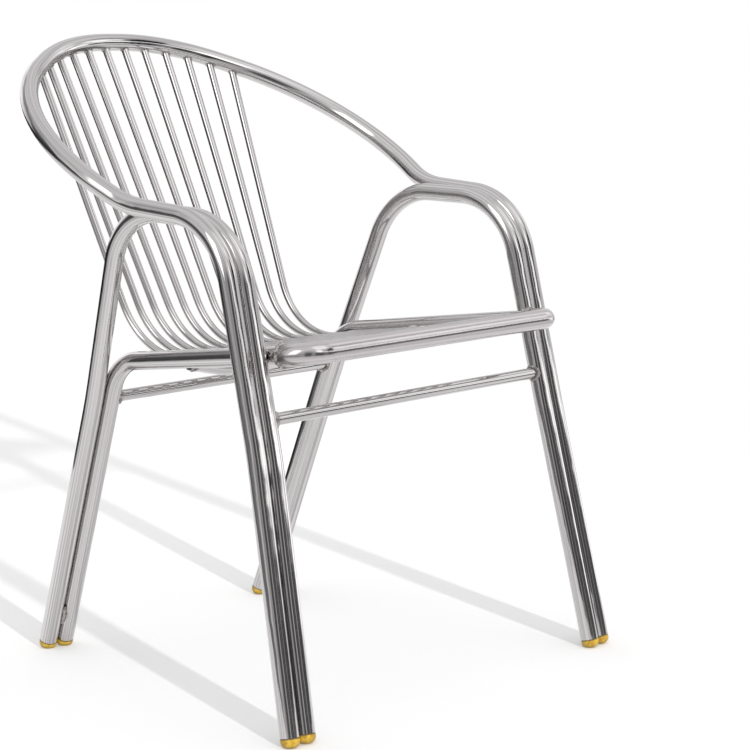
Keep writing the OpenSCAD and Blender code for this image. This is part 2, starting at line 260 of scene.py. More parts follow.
def rod_line(i):
    """The three corners of rod i: on the rail, at the seat's back and on the front bar."""
    x = steps_from_middle(i) * SEAT_STEP
    seat_back = spot(x, ROD_CORNER_BEHIND, ROD_CORNER_Z)
    return [rod_top(i)[0], seat_back, Vector((x, bar_corner.y, bar_corner.z))]


print("the outer rods are %.0f mm apart at the top" % (2 * rod_top(RODS)[0].x))

# %% The cross tube's corners, under the rods
SUPPORT_BEHIND = 234
SUPPORT_HALF = 146
SUPPORT_DROP = Vector((0, 0, -4))
ACROSS = Vector((1, 0, 0))

rod_fall = (rod_line(1)[2] - rod_line(1)[1]).normalized()
on_rod = at_depth(rod_line(1)[1], rod_line(1)[2], FRONT + SUPPORT_BEHIND)
support_low = Vector((0, on_rod.y, on_rod.z))
support_low += ACROSS.cross(rod_fall) * ((ROD_D + SUPPORT_D) / 2 + PAIR_GAP)
support_side = at_depth(side_corner, bar_mouth, support_low.y)
support_line = both([support_side + SUPPORT_DROP, support_low + ACROSS * SUPPORT_HALF])
print("rods touch the cross tube at z = %.1f mm" % on_rod.z)

# %% [markdown]
# ## Bending a tube
# A curve with a round bevel would make a tube too, but here each vertex has to know how far round and
# how far along the tube it lies. So a ring of vertices is pushed along each straight and spun round
# each bend, which is what the bender does to the real tube, and both numbers are kept as it goes. They
# become the tube's own UV map, so that polish lines can follow every bend.

# %% Where a ring stands, and its edges


def facing(place, heading):
    """Matrix that puts Z along heading at place."""
    return Matrix.Translation(place) @ heading.to_track_quat("Z", "Y").to_matrix().to_4x4()


def ring_edges(ring):
    """The edges that join the vertices of one ring, each once and always in the same order."""
    found = set(ring)
    return list(dict.fromkeys(e for v in ring for e in v.link_edges if e.other_vert(v) in found))


leg_heading = facing(rail_side[0], rail_side[1] - rail_side[0]).col[2].xyz
print("a front leg leans by %.1f degrees" % (leg_heading.angle(Vector((0, 0, 1))) * 180 / pi))

# %% The tube bender
BEND_STEP = radians(3)


class Bender:
    """Pushes one ring of vertices through straights and bends."""

    def __init__(self, place, heading, d, sides):
        self.bm = bmesh.new()
        self.round = self.bm.verts.layers.float.new("round")
        self.far = self.bm.verts.layers.float.new("far")
        made = bmesh.ops.create_circle(self.bm, cap_ends=False, segments=sides, radius=d / 2 * MM,
                                       matrix=facing(place * MM, heading))
        for k, v in enumerate(made["verts"]):
            v[self.round] = k / sides
        self.ring = made["verts"]
        self.gone = 0.0

    def moved(self, geom, distance):
        """The newest ring becomes the one to push, and knows how far along it lies."""
        self.ring = [v for v in geom if isinstance(v, bmesh.types.BMVert)]
        self.gone += distance * MM
        for v in self.ring:
            v[self.far] = self.gone

    def push(self, step):
        """One straight."""
        made = bmesh.ops.extrude_edge_only(self.bm, edges=ring_edges(self.ring))
        self.moved(made["geom"], step.length)
        bmesh.ops.translate(self.bm, verts=self.ring, vec=step * MM)

    def bend(self, centre, axis, angle, radius):
        """One bend, in short equal steps."""
        steps = max(2, ceil(angle / BEND_STEP))
        for _ in range(steps):
            made = bmesh.ops.spin(
                self.bm, geom=self.ring + ring_edges(self.ring), cent=centre * MM, axis=axis,
                angle=angle / steps, steps=1, use_merge=False, use_duplicate=False,
            )
            self.moved(made["geom_last"], radius * angle / steps)


print("a right-angle bend takes %d steps" % ceil(pi / 2 / BEND_STEP))

# %% [markdown]
# A tube's map is a sheet that was rolled up: u goes once round, and v is the true length in metres. A
# finished bmesh becomes an object, and its node in the frame, which was only there to give the place
# and the shape, is hidden.

# %% Unroll the tube, and finish a piece


def unroll(bm, layer_round, layer_far):
    """Round and far become u and v. The faces that close the circle end at 1, not at 0."""
    uv = bm.loops.layers.uv.new("tube")
    for face in bm.faces:
        us = [loop.vert[layer_round] for loop in face.loops]
        closing = max(us) - min(us) > 0.5
        for loop, u in zip(face.loops, us):
            loop[uv].uv = (u + 1 if closing and u < 0.5 else u, loop.vert[layer_far])


def finished(bm, name, material, replaced, crease=40):
    """The bmesh becomes a smooth object that rides on the chair and stands for its nodes."""
    print("%-22s %5d faces" % (name, len(bm.faces)))
    for face in bm.faces:
        face.smooth = True
    for edge in bm.edges:
        if len(edge.link_faces) == 2 and edge.calc_face_angle() > radians(crease):
            edge.smooth = False
    mesh = bpy.data.meshes.new(name)
    bm.to_mesh(mesh)
    bm.free()
    mesh.materials.append(material)
    piece = bpy.data.objects.new(name, mesh)
    bpy.context.collection.objects.link(piece)
    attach(piece, "root")
    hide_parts(*replaced)


# %% One tube from its bending table


def bent_tube(name, corners, radii, d, wall, material, replaced, first=0.0, final=0.0, sides=40):
    """A hollow tube of diameter d, with the lengths first and final left off at its ends."""
    path = [v.copy() for v in corners]
    path[0] += (path[1] - path[0]).normalized() * first
    path[-1] += (path[-2] - path[-1]).normalized() * final
    tube = Bender(path[0], (path[1] - path[0]).normalized(), d, sides)
    for i in range(1, len(path)):
        ahead = (path[i] - path[i - 1]).normalized()
        last = i == len(path) - 1
        ease = 0.0 if last else lead(path, radii, i)
        tube.push(ahead * ((path[i] - path[i - 1]).length - lead(path, radii, i - 1) - ease))
        if last:
            break
        after = (path[i + 1] - path[i]).normalized()
        axis = ahead.cross(after).normalized()
        centre = path[i] - ahead * ease + axis.cross(ahead) * radii[i]
        tube.bend(centre, axis, ahead.angle(after), radii[i])
    bm = tube.bm
    bmesh.ops.recalc_face_normals(bm, faces=bm.faces[:])
    unroll(bm, tube.round, tube.far)
    bmesh.ops.solidify(bm, geom=bm.faces[:], thickness=wall * MM)
    bmesh.ops.recalc_face_normals(bm, faces=bm.faces[:])
    print("%-22s %5.0f mm long" % (name, tube.gone / MM))
    finished(bm, name, material, replaced)


# %% [markdown]
# ## Shader maths
# Every finish below is a sum of patterns. Nodes could be placed and joined one at a time, but a small
# class that wraps a socket lets the sums be written as sums.

# %% A socket that can be added and multiplied


class Wire:
    """One output of a node."""

    def __init__(self, shop, socket):
        self.shop = shop
        self.socket = socket

    def maths(self, operation, *values):
        """A wire from a new Math node that takes these values."""
        made = self.shop.node("ShaderNodeMath", {"operation": operation}, dict(enumerate(values)))
        return self.shop.wire(made)

    def __add__(self, other):
        return self.maths("ADD", self, other)

    def __radd__(self, other):
        return self.maths("ADD", other, self)

    def __sub__(self, other):
        return self.maths("SUBTRACT", self, other)

    def __rsub__(self, other):
        return self.maths("SUBTRACT", other, self)

    def __mul__(self, other):
        return self.maths("MULTIPLY", self, other)


print("wires can be added, subtracted and multiplied")

# %% A node tree that hands out wires


class Shop:
    """The node tree of one material or of the world."""

    def __init__(self, owner):
        owner.use_nodes = True
        self.name = owner.name
        self.tree = owner.node_tree
        self.tree.nodes.clear()

    def node(self, kind, settings=None, inputs=None):
        """A node with its settings by name. An input is a plain value or a wire."""
        made = self.tree.nodes.new(kind)
        for key, value in (settings or {}).items():
            setattr(made, key, value)
        for key, value in (inputs or {}).items():
            if isinstance(value, Wire):
                self.tree.links.new(value.socket, made.inputs[key])
            else:
                made.inputs[key].default_value = value
        return made

    def wire(self, node, output=0):
        """One of the node's outputs, by number or name."""
        return Wire(self, node.outputs[output])

    def noise(self, vector, scale, detail=2.0, roughness=0.5):
        made = self.node("ShaderNodeTexNoise", {"noise_dimensions": "3D"},
                         {"Vector": vector, "Scale": scale, "Detail": detail, "Roughness": roughness})
        return self.wire(made)

    def between(self, value, low, high):
        """0 below low, 1 above high, smooth in between."""
        made = self.node("ShaderNodeMapRange", {"interpolation_type": "SMOOTHSTEP"},
                         {0: value, 1: low, 2: high, 3: 0.0, 4: 1.0})
        return self.wire(made)

    def mix(self, factor, a, b):
        """Colour a where the factor is 0, and b where it is 1."""
        made = self.node("ShaderNodeMix", {"data_type": "RGBA"}, {0: factor, 6: a, 7: b})
        return self.wire(made, 2)

    def bump(self, height, distance, normal=None):
        """A normal that leans as if the surface were this high, times the distance."""
        inputs = {"Height": height, "Distance": distance, "Strength": 1.0}
        if normal is not None:
            inputs["Normal"] = normal
        return self.wire(self.node("ShaderNodeBump", None, inputs))

    def principled(self, inputs):
        """The material's whole surface, as one Principled shader."""
        shader = self.node("ShaderNodeBsdfPrincipled", None, inputs)
        self.node("ShaderNodeOutputMaterial", None, {0: self.wire(shader)})
        print("%-22s %5d shader nodes" % (self.name, len(self.tree.nodes)))


def new_material(name):
    material = bpy.data.materials.new(name)
    return material, Shop(material)


print("a shop makes noises, ranges, mixes and bumps")

# %% [markdown]
# ## Polished tube
# Tube is polished by belts that run along it, so its fine scratches are long and straight. A picture of
# scratches could be wrapped round it, but lines drawn in the tube's own map follow every bend, and the
# map is rolled into a circle here, so that no seam shows. The lines bend the reflections a little
# sideways, which gives the dark and light threads. A slow wobble of the surface keeps the broad
# highlights from being ruler straight.

# %% Lines that run along a tube
BROAD_LINES = 0.42
BROAD_STRETCH = 1.5
FINE_STRETCH = 2.2


def belt_lines(shop, uv, d):
    """A maker of lines. Round the tube the scale is in millimetres, and along it in metres."""
    sheet = shop.node("ShaderNodeSeparateXYZ", None, {0: uv})
    turn = shop.wire(sheet, 0) * (2 * pi)
    length = shop.wire(sheet, 1)
    across = turn.maths("COSINE", turn) * (d / 2)
    up = turn.maths("SINE", turn) * (d / 2)

    def lines(scale, stretch):
        place = shop.node("ShaderNodeCombineXYZ", None, {0: across, 1: up, 2: length * stretch})
        return shop.noise(shop.wire(place), scale, 1.0, 0.6)

    return lines


print("a broad line is about %.1f mm wide" % (1 / BROAD_LINES))

# %% [markdown]
# Next to a weld the heat has left a brown and grey stain, which fades over a finger's width. It belongs
# to a place on the chair and not to the tube's map, so it is worked out from the distance to the weld.

# %% Heat stains
RAGGED = 0.006
FULLY_BURNT = 0.6
FOOT_WELD_Z = 45
IN_THE_MOUTH = 6
MOUTH_STAIN = 19
FOOT_STAIN = 15
STRETCHER_STAIN = 21


def heat_stain(shop, place, speckle, stains):
    """1 near a weld, and 0 past its reach, with a ragged edge."""
    burnt = None
    for weld, reach in stains:
        away = shop.node("ShaderNodeVectorMath", {"operation": "DISTANCE"}, {0: place, 1: weld * MM})
        ragged = shop.wire(away, "Value") + speckle * RAGGED
        one = 1 - shop.between(ragged, reach * MM * FULLY_BURNT, reach * MM)
        burnt = one if burnt is None else burnt.maths("MAXIMUM", burnt, one)
    return burnt


def on_both_sides(place, reach):
    return [(place, reach), (flip(place), reach)]


foot_pair = at_height(arch[5], arch[4], FOOT_WELD_Z) + REAR_STEP / 2
in_mouth = bar_mouth + (bar_corner - bar_mouth).normalized() * IN_THE_MOUTH
tube_stains = on_both_sides(in_mouth, MOUTH_STAIN) + on_both_sides(foot_pair, FOOT_STAIN)
stretcher_stains = []
for joint in (front_joint, rear_joint, support_side):
    stretcher_stains += on_both_sides(joint, STRETCHER_STAIN)
print("stains: %d on tubes, %d on stretchers" % (len(tube_stains), len(stretcher_stains)))

# %% Steel
SCALE_BROWN = (0.13, 0.105, 0.095, 1)
FINE_SHARE = 0.75
FINE_DEPTH = 0.3
DULL_LINES = 0.06
DULL_SMUDGES = 0.04
DULL_BURNS = 0.2


def polished_steel(name, d, line_depth, wobble, thread, stains=(), tint=(0.556, 0.538, 0.54),
                   rough=0.05, contrast=(1.22, 0.76)):
    """Steel for one size of stock. Thread is the scale of its fine lines, which vary by contrast."""
    material, shop = new_material(name)
    coordinates = shop.node("ShaderNodeTexCoord")
    place = shop.wire(coordinates, "Object")
    waves = shop.noise(place, 24.0, 1.0)
    smudge = shop.noise(place, 9.0, 3.0)
    speckle = shop.noise(place, 420.0, 3.0, 0.7)
    lines = belt_lines(shop, shop.wire(coordinates, "UV"), d)
    broad = lines(BROAD_LINES, BROAD_STRETCH)
    fine = lines(thread, FINE_STRETCH)

    shade = shop.between(fine, 0.32, 0.68) * FINE_SHARE + shop.between(broad, 0.3, 0.7) * (1 - FINE_SHARE)
    light, dark = (tuple(c * k for c in tint) for k in contrast)
    colour = shop.mix(shade, (*light, 1), (*dark, 1))
    dull = shop.between(fine, 0.45, 0.75)
    roughness = rough + dull * DULL_LINES + shop.between(smudge, 0.5, 0.8) * DULL_SMUDGES
    if stains:
        burnt = heat_stain(shop, place, speckle, stains)
        colour = shop.mix(burnt * (0.35 + speckle * 0.7), colour, SCALE_BROWN)
        roughness = roughness + burnt * DULL_BURNS
    normal = shop.bump(broad * line_depth + fine * (line_depth * FINE_DEPTH), MM)
    normal = shop.bump(waves, wobble, normal)
    shop.principled({"Metallic": 1.0, "Base Color": colour, "Roughness": roughness, "Normal": normal})
    return material


# %% [markdown]
# One steel could serve the whole chair, but in the photograph the front bar is satin where the tubes
# are bright, and the thin rods shine most, as if each size of stock had been polished by its own belt.

# %% One steel for each size of stock
tube_steel = polished_steel(
    "polished tube", TUBE_D, line_depth=0.05, wobble=0.0006, thread=0.62, stains=tube_stains,
    rough=0.075, contrast=(1.27, 0.72))
bar_steel = polished_steel(
    "satin bar", SLEEVE_D, line_depth=0.02, wobble=0.0008, thread=0.7, stains=tube_stains,
    tint=(0.55, 0.517, 0.526), rough=0.18, contrast=(1.08, 0.9))
rod_steel = polished_steel(
    "polished rod", ROD_D, line_depth=0.01, wobble=0.0002, thread=0.5,
    tint=(0.55, 0.532, 0.534), rough=0.03, contrast=(1.32, 0.66))
stretcher_steel = polished_steel(
    "polished stretcher", STRETCHER_D, line_depth=0.015, wobble=0.0003, thread=0.9,
    stains=stretcher_stains)

# %% [markdown]
# ## The tubes
# Each tube is one piece of stock from end to end, in the order in which a welder would take them up. A
# mesh that joined them all would be quicker to make, but then no tube could have its own map.

# %% Rail, arches, seat sides and front bar
SIDES = (("left", list), ("right", lambda side: [flip(v) for v in side]))
SIDE_BEND = 60
BAR_BEND = 30
SIDE_IN_BAR = 5

bent_tube("round_back_rail", both(rail_side), rail_radii + rail_radii[::-1], TUBE_D, WALL, tube_steel,
          ["back_arm_rail"], PLUG_SHOWS, PLUG_SHOWS)
for side, turned in SIDES:
    bent_tube("arch_" + side, turned(arch), arch_radii, TUBE_D, WALL, tube_steel,
              ["arm_arch_" + side], PLUG_SHOWS, PLUG_SHOWS)
    bent_tube("seat_tube_" + side, turned([side_foot, side_corner, bar_mouth]), [0, SIDE_BEND, 0],
              TUBE_D, WALL, tube_steel, ["seat_side_" + side], PLUG_SHOWS, -SIDE_IN_BAR)
bent_tube("front_bar", both([bar_mouth, bar_corner]), [0, BAR_BEND, BAR_BEND, 0], SLEEVE_D, SLEEVE_WALL,
          bar_steel, ["seat_front_bar"])

# %% Cross tube and stretchers
SUPPORT_BEND = 150
SUPPORT_SHORT = 1
BITE = 1
TOUCH = TUBE_D / 2 - BITE

bent_tube("cross_tube", support_line, [0, SUPPORT_BEND, SUPPORT_BEND, 0], SUPPORT_D, WALL,
          stretcher_steel, ["seat_support"], SUPPORT_SHORT, SUPPORT_SHORT, sides=32)
for place, joint in (("front", front_joint), ("rear", rear_joint)):
    bent_tube("stretcher_" + place, both([joint]), [0, 0], STRETCHER_D, WALL, stretcher_steel,
              [place + "_stretcher"], TOUCH, TOUCH, sides=32)

# %% Twelve rods
ROD_BEND = 96

for i in ROD_NUMBERS:
    bent_tube("rod_%02d" % i, rod_line(i), [0, ROD_BEND, 0], ROD_D, WALL, rod_steel,
              ["back_rod_%02d" % i], TOUCH, SLEEVE_D / 2 - BITE, sides=24)

# %% [markdown]
# ## Weld beads
# A bead is a row of small puddles that each froze on the one before, so its back is rippled. Bump in a
# material could draw ripples, but a bead stands proud of the tube and shows in outline, so it is
# modelled. Round the end of a bar it is a ring: a circle spun about the bar, then swollen once a
# ripple, and lifted so that it follows the round tube that it sits on.

# %% New vertices, and how far a bead has to climb
DOWN = Vector((0, 0, -1))


def new_vertices(bm):
    """The vertices made since the last call."""
    made = [v for v in bm.verts if not v.tag]
    for v in made:
        v.tag = True
    return made


def climb(reach, heading, tangent, radius):
    """How far along heading a point beside the bar lies when it touches the round tube."""
    a = heading - tangent * heading.dot(tangent)
    b = reach - tangent * reach.dot(tangent)
    half = a.dot(b)
    inside = half * half - a.dot(a) * (b.dot(b) - radius * radius)
    return (sqrt(max(inside, 0.0)) - half) / a.dot(a)


beside_rod = climb(Vector((0, ROD_D / 2, 0)), DOWN, ACROSS, TUBE_D / 2)
print("%g mm beside a rod's middle, the rail is %.2f mm deep" % (ROD_D / 2, beside_rod))

# %% A ring bead
RING_RIPPLE = 0.14
RING_LUMPS = 0.35
RING_LUMP_SCALE = 0.21
CORE_OUT = 0.3
STEPS_A_RIPPLE = 5


def ring_bead(bm, place, heading, d, thick, ripples, tangent=None, against_d=0.0):
    """Rippled ring round a bar that leaves place along heading, on a flat or on a round tube."""
    heading = heading.normalized()
    side = heading.orthogonal().normalized()
    other = heading.cross(side)
    middle = d / 2 + thick * CORE_OUT
    made = bmesh.ops.create_circle(bm, cap_ends=False, segments=10, radius=thick * MM,
                                   matrix=facing((place + side * middle) * MM, other))
    bmesh.ops.spin(bm, geom=made["verts"] + ring_edges(made["verts"]), cent=place * MM, axis=heading,
                   angle=2 * pi, steps=ripples * STEPS_A_RIPPLE, use_merge=True, use_duplicate=False)
    for v in new_vertices(bm):
        p = v.co / MM - place
        out = p - heading * p.dot(heading)
        angle = atan2(out.dot(other), out.dot(side))
        core = out.normalized() * middle
        lump = noise.noise((place + core) * RING_LUMP_SCALE)
        swell = 1 + RING_RIPPLE * cos(ripples * angle) + RING_LUMPS * lump
        p = core + (p - core) * swell
        if tangent is not None:
            p += heading * climb(core, heading, tangent.normalized(), against_d / 2)
        v.co = (place + p) * MM


print("a ripple swells a ring by %.0f percent" % (100 * RING_RIPPLE))

# %% [markdown]
# Along a pair of tubes the bead is a stretched ball with the same ripples, and one short touch of the
# welder leaves only a lump. Nothing else on the chair is as rough, so neither needs a fine mesh.

# %% Seam and blob, and the piece that beads become
SEAM_RIPPLE = 0.13
SEAM_LUMPS = 0.3
SEAM_LUMP_SCALE = 170
BLOB_LUMPS = 0.35
BLOB_LUMP_SCALE = 260


def seam_bead(bm, middle, heading, length, thick, ripples):
    """Rippled bead along a groove."""
    size = Matrix.Diagonal((thick * MM, thick * MM, length / 2 * MM, 1))
    whole = facing(middle * MM, heading) @ size
    bmesh.ops.create_uvsphere(bm, u_segments=14, v_segments=ripples * 6, radius=1.0, matrix=whole)
    back = whole.inverted()
    for v in new_vertices(bm):
        p = back @ v.co
        lump = noise.noise(v.co * SEAM_LUMP_SCALE)
        ripple = 1 + SEAM_RIPPLE * cos(p.z * pi * ripples) + SEAM_LUMPS * lump
        swell = sqrt(1 + p.z * p.z) * ripple
        v.co = whole @ Vector((p.x * swell, p.y * swell, p.z))


def blob_bead(bm, place, size):
    """A lump of weld left by one short touch."""
    bmesh.ops.create_icosphere(bm, subdivisions=3, radius=size / 2 * MM,
                               matrix=Matrix.Translation(place * MM))
    for v in new_vertices(bm):
        away = v.co - place * MM
        v.co = place * MM + away * (1 + BLOB_LUMPS * noise.noise(v.co * BLOB_LUMP_SCALE))


def welded(name, bm, node):
    """All the beads of one place become one piece."""
    bmesh.ops.recalc_face_normals(bm, faces=bm.faces[:])
    finished(bm, name, weld_steel, [node], crease=70)


print("a blob is lumpy by %.0f percent" % (100 * BLOB_LUMPS))

# %% [markdown]
# Weld metal is the same steel, but cast instead of polished: grainy, stained straw and brown, and black
# in the ripples where the brush didn't reach. Three noises of different grain are enough for that.

# %% Weld metal
CAST_GREY = (0.50, 0.485, 0.48, 1)
CAST_BROWN = (0.29, 0.265, 0.25, 1)
SOOT_BLACK = (0.07, 0.06, 0.055, 1)

weld_steel, shop = new_material("weld metal")
coordinates = shop.wire(shop.node("ShaderNodeTexCoord"), "Object")
grain = shop.noise(coordinates, 900.0, 3.0, 0.6)
stain = shop.noise(coordinates, 160.0, 2.0)
soot = shop.noise(coordinates, 330.0, 3.0, 0.7)
colour = shop.mix(shop.between(stain, 0.4, 0.62), CAST_GREY, CAST_BROWN)
colour = shop.mix(shop.between(soot, 0.55, 0.7), colour, SOOT_BLACK)
shop.principled({
    "Base Color": colour, "Metallic": 1.0, "Roughness": 0.22 + shop.between(grain, 0.35, 0.7) * 0.25,
    "Normal": shop.bump(grain, 0.0004)})

# %% Beads at the rods' ends
bm = bmesh.new()
for i in ROD_NUMBERS:
    top, along_rail = rod_top(i)
    ring_bead(bm, top, rod_line(i)[1] - top, ROD_D, thick=1.15, ripples=7,
              tangent=along_rail, against_d=TUBE_D)
welded("rod_top_beads", bm, "rail_rod_welds")

bm = bmesh.new()
for i in ROD_NUMBERS:
    line = rod_line(i)
    ring_bead(bm, line[2], line[1] - line[2], ROD_D, thick=1.6, ripples=7,
              tangent=ACROSS, against_d=SLEEVE_D)
welded("rod_front_beads", bm, "bar_rod_welds")

# %% Beads of the stretchers
bm = bmesh.new()
for s in (1, -1):
    for joint, leg in ((front_joint, arch[2] - arch[1]), (rear_joint, side_corner - side_foot)):
        place, tangent = (joint, leg) if s == 1 else (flip(joint), flip(leg))
        ring_bead(bm, place, ACROSS * -s, STRETCHER_D, thick=2.6, ripples=9,
                  tangent=tangent, against_d=TUBE_D)
welded("stretcher_beads", bm, "stretcher_welds")

# %% Beads of the cross tube, at its ends and two under each rod
UNDER_ROD = 4.8

bm = bmesh.new()
end = support_side + SUPPORT_DROP
rise = support_line[1] - support_line[0]
seat_run = bar_mouth - side_corner
for place, heading, tangent in ((end, rise, seat_run), (flip(end), flip(rise), flip(seat_run))):
    ring_bead(bm, place, heading, SUPPORT_D, thick=1.3, ripples=13, tangent=tangent, against_d=TUBE_D)
for i in ROD_NUMBERS:
    x = steps_from_middle(i) * SEAT_STEP
    middle = Vector((x, (support_low.y + on_rod.y) / 2, (support_low.z + on_rod.z) / 2))
    for s in (1, -1):
        blob_bead(bm, middle + rod_fall * UNDER_ROD * s, size=6.2)
welded("cross_tube_beads", bm, "support_welds")

# %% Beads of the seat sides, round the front bar's mouths and where they touch the legs
OUT_OF_MOUTH = 0.5

for side, turned in SIDES:
    mouth, ahead = turned([bar_mouth, side_corner - bar_mouth])
    leg, crossing = turned([leg_at_crossing, leg_crossing])
    bm = bmesh.new()
    ring_bead(bm, mouth + ahead.normalized() * OUT_OF_MOUTH, ahead, TUBE_D, thick=2.9, ripples=13)
    touch = (leg + crossing) / 2
    for s in (1, -1):
        blob_bead(bm, touch + Vector((0, 0, 5.5)) * s, size=7.0)
        blob_bead(bm, touch + Vector((0, -4.0, 6.5)) * s, size=4.5)
    welded("seat_side_beads_" + side, bm, "seat_side_welds_" + side)

# %% Beads along the pairs, two under each arm and one at each pair of feet
SEAM_BEHIND = (195, 235)
SEAM_FROM_TUBE = 12.5
APART = (TUBE_D + PAIR_GAP) / 2
GROOVE = sqrt(SEAM_FROM_TUBE ** 2 - APART ** 2)


def pair_bead(bm, a, b, heading, out):
    """A seam in the groove between tubes with the middles a and b, on the side that out points to."""
    middle = (a + b) / 2 + out.normalized() * GROOVE
    seam_bead(bm, middle, heading, length=26, thick=2.9, ripples=9)


for s, (side, turned) in zip((1, -1), SIDES):
    bm = bmesh.new()
    rail, inner, back_leg = turned(rail_side), turned(arch), turned([side_foot, side_corner])
    for behind in SEAM_BEHIND:
        on_rail = at_depth(rail[2], rail[3], FRONT + behind)
        on_arch = at_depth(inner[2], inner[3], FRONT + behind)
        pair_bead(bm, on_rail, on_arch, inner[3] - inner[2], DOWN)
    outer_foot = at_height(rail[0], rail[1], FOOT_WELD_Z)
    inner_foot = at_height(inner[0], inner[1], FOOT_WELD_Z)
    heading = inner[1] - inner[0]
    pair_bead(bm, outer_foot, inner_foot, heading, (inner[0] - rail[0]).cross(heading) * s)
    outer_foot = at_height(inner[5], inner[4], FOOT_WELD_Z)
    inner_foot = at_height(back_leg[0], back_leg[1], FOOT_WELD_Z)
    heading = inner[4] - inner[5]
    pair_bead(bm, outer_foot, inner_foot, heading, heading.cross(back_leg[0] - inner[5]) * s)
    welded("pair_beads_" + side, bm, "pair_welds_" + side)

# %% [markdown]
# ## Foot plugs
# Each leg ends in an amber plastic plug: a domed knob as wide as the tube, with a stem up inside. A
# squashed ball would do for the knob, but the step under the tube's end makes the line of the joint,
# so half the outline is drawn once and spun about the leg. The leg leans, so the knob is then cut
# level at the floor, as wear cuts it. The plastic is cloudy and darker towards the floor, and the
# joint's step is painted dark, as painted shade.

# %% Half the outline of a plug, as distances from the leg's axis and up the leg
PLUG_R = TUBE_D / 2
TIP_R = 1.0
TIP_Z = -1.2
DOME_TALL = 8
DOME_TOP = 6.8
RIM_TOP = 9.4
CHAMFER = 0.5
CHAMFER_TOP = 10.0
NECK_R = 10.3
STEM_R = 9.85
STEM_END_R = 9.0
STEM_END = 27
STEM_CHAMFER = 0.8

plug_outline = [(TIP_R, TIP_Z)]
for a in range(15, 91, 15):
    dome_r = TIP_R + (PLUG_R - TIP_R) * sin(radians(a))
    plug_outline.append((dome_r, DOME_TOP - DOME_TALL * cos(radians(a))))
plug_outline += [(PLUG_R, RIM_TOP), (PLUG_R - CHAMFER, CHAMFER_TOP), (NECK_R, PLUG_SHOWS)]
plug_outline += [(STEM_R, PLUG_SHOWS), (STEM_R, STEM_END - STEM_CHAMFER), (STEM_END_R, STEM_END)]
print("points in a plug's outline:", len(plug_outline))

# %% Amber plastic
DARK_AMBER = (0.36, 0.20, 0.016, 1)
LIGHT_AMBER = (0.53, 0.345, 0.035, 1)
# The colour that the lowest part of the dome turns towards.
LOW_DOME_OLIVE = (0.17, 0.12, 0.02, 1)
# Painted shade: the colour of the joint's step under the tube's end.
JOINT_SHADE = (0.045, 0.03, 0.02, 1)
DARKEST_UP_TO = 2
UNDARKENED_FROM = 8

amber, shop = new_material("amber plastic")
coordinates = shop.wire(shop.node("ShaderNodeTexCoord"), "Object")
over_floor = shop.wire(shop.node("ShaderNodeSeparateXYZ", None, {0: coordinates}), 2)
up_leg = shop.wire(shop.node("ShaderNodeAttribute", {"attribute_name": "up_leg"}), "Fac")
cloud = shop.between(shop.noise(coordinates, 190.0, 3.0), 0.36, 0.62)
scuff = shop.noise(coordinates, 500.0, 3.0, 0.7)
near_floor = 1 - shop.between(over_floor + scuff * 0.004, DARKEST_UP_TO * MM, UNDARKENED_FROM * MM)
in_joint = shop.between(up_leg + scuff * 0.0008, RIM_TOP * MM, (RIM_TOP + 1) * MM)
colour = shop.mix(cloud, DARK_AMBER, LIGHT_AMBER)
# Darker and more olive towards the floor.
colour = shop.mix(near_floor * 0.7, colour, LOW_DOME_OLIVE)
# Painted shade: the joint's step is painted nearly black.
colour = shop.mix(in_joint * 0.85, colour, JOINT_SHADE)
shop.principled({
    "Base Color": colour, "Roughness": 0.28 + shop.between(scuff, 0.5, 0.7) * 0.3,
    "Normal": shop.bump(scuff, 0.0002)})

# %% Plugs
LEGS = (
    ("front_outer_", rail_side[:2]), ("front_inner_", arch[:2]),
    ("rear_outer_", [arch[5], arch[4]]), ("rear_inner_", [side_foot, side_corner]),
)


def fill_holes(bm):
    """Close the open ends, with all faces looking out."""
    bmesh.ops.holes_fill(bm, edges=[e for e in bm.edges if e.is_boundary], sides=0)
    bmesh.ops.recalc_face_normals(bm, faces=bm.faces[:])


def foot_plug(name, foot, above, node):
    """The outline, from the tip up to the top of the stem, spun about the leg."""
    axis = (above - foot).normalized()
    side = axis.orthogonal().normalized()
    bm = bmesh.new()
    up_leg = bm.verts.layers.float.new("up_leg")
    line = [bm.verts.new((foot + side * r + axis * h) * MM) for r, h in plug_outline]
    for v, (r, h) in zip(line, plug_outline):
        v[up_leg] = h * MM
    edges = [bm.edges.new(pair) for pair in zip(line, line[1:])]
    bmesh.ops.spin(bm, geom=line + edges, cent=foot * MM, axis=axis, angle=2 * pi, steps=32,
                   use_merge=True, use_duplicate=False)
    fill_holes(bm)
    bmesh.ops.bisect_plane(bm, geom=bm.verts[:] + bm.edges[:] + bm.faces[:], plane_co=(0, 0, 0),
                           plane_no=(0, 0, 1), clear_inner=True)
    fill_holes(bm)
    finished(bm, name, amber, [node], crease=50)


for side, turned in SIDES:
    for which, leg in LEGS:
        foot, above = turned(leg)
        foot_plug("foot_" + which + side, foot, above, "plug_" + which + side)

# %% [markdown]
# ## The floor
# In the photograph the floor is white as far as the shadows run, yet the lower legs reflect something
# dark, as if white paper ended near them. An endless white floor would be simpler, but then they would
# reflect nothing but white, so this floor is an oval sheet. Its rim takes the brightness of the
# background, and the whole sheet glows a little, so that paper and background meet without a line and
# only the shadows are left to see.

# %% Floor
PAPER_CENTRE = Vector((0.42, 0.68, 0))
PAPER_TURN = radians(62)
PAPER_REACH = Vector((1.75, 1.25, 1))

